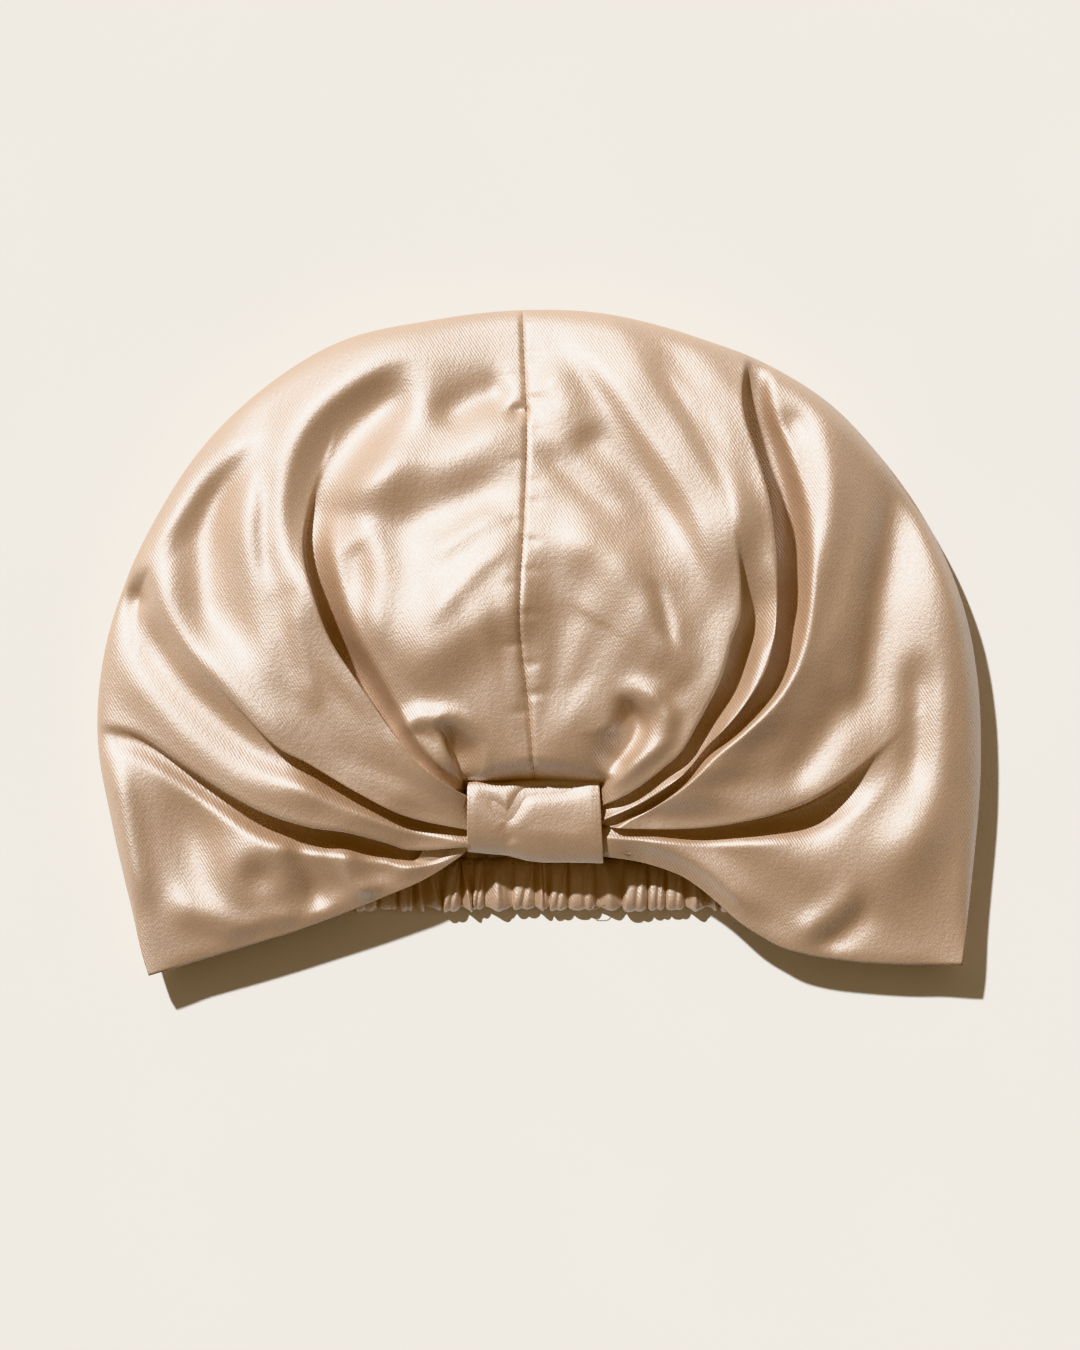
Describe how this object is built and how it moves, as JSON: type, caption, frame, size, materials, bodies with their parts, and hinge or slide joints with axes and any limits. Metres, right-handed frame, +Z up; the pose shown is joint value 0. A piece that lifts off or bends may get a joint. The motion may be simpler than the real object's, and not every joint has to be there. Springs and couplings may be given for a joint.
{
  "type": "satin turban cap",
  "caption": "Soft lined satin turban cap laid flat: front panels gathered through a knot loop, centre seam over the crown, shirred elastic nape edge and an open mouth for the head.",
  "frame": {"origin": "on the surface the cap lies on, under the middle of its outline", "axes": "+Z up out of the front, +Y towards the crown, +X towards the right-hand wing as seen from above"},
  "size_m": [0.3292, 0.2478, 0.041],
  "materials": {
    "outer_satin": "champagne satin, glossy and smooth with a fine diagonal weave",
    "lining_satin": "champagne satin lining, the same cloth a little duller",
    "thread": "matt polyester sewing thread",
    "elastic": "ribbed woven elastic, off-white",
    "label": "blank woven ribbon, off-white"
  },
  "bodies": {
    "back": {"back_panel_left": "outer_satin", "back_panel_right": "outer_satin", "back_lining_left": "lining_satin", "back_lining_right": "lining_satin", "back_seam_stitches": "thread", "side_seam_stitches_left": "thread", "side_seam_stitches_right": "thread", "elastic_casing": "outer_satin", "nape_elastic": "elastic", "casing_stitches": "thread", "elastic_tacks": "thread", "label_stitches": "thread"},
    "front": {"front_panel_left": "outer_satin", "front_panel_right": "outer_satin", "front_lining_left": "lining_satin", "front_lining_right": "lining_satin", "front_gathers": "outer_satin", "gathering_thread": "thread", "front_seam_stitches": "thread", "lining_seam_stitches": "thread"},
    "loop": {"knot_loop": "outer_satin", "loop_seam_stitches": "thread"},
    "label": {"care_label": "label"}
  },
  "joints": [
    {"name": "mouth_open", "type": "hinge", "parent": "back", "child": "front", "pos_m": [-0.00275, 0.12388, 0.0092], "axis": [-1, 0, 0], "range_deg": [0, 20]},
    {"name": "loop_shift", "type": "slide", "parent": "front", "child": "loop", "axis": [1, 0, 0], "range_m": [-0.004, 0.004]},
    {"name": "label_lift", "type": "hinge", "parent": "back", "child": "label", "pos_m": [-0.00275, -0.08302, 0.0024], "axis": [1, 0, 0], "range_deg": [0, 18]}
  ]
}
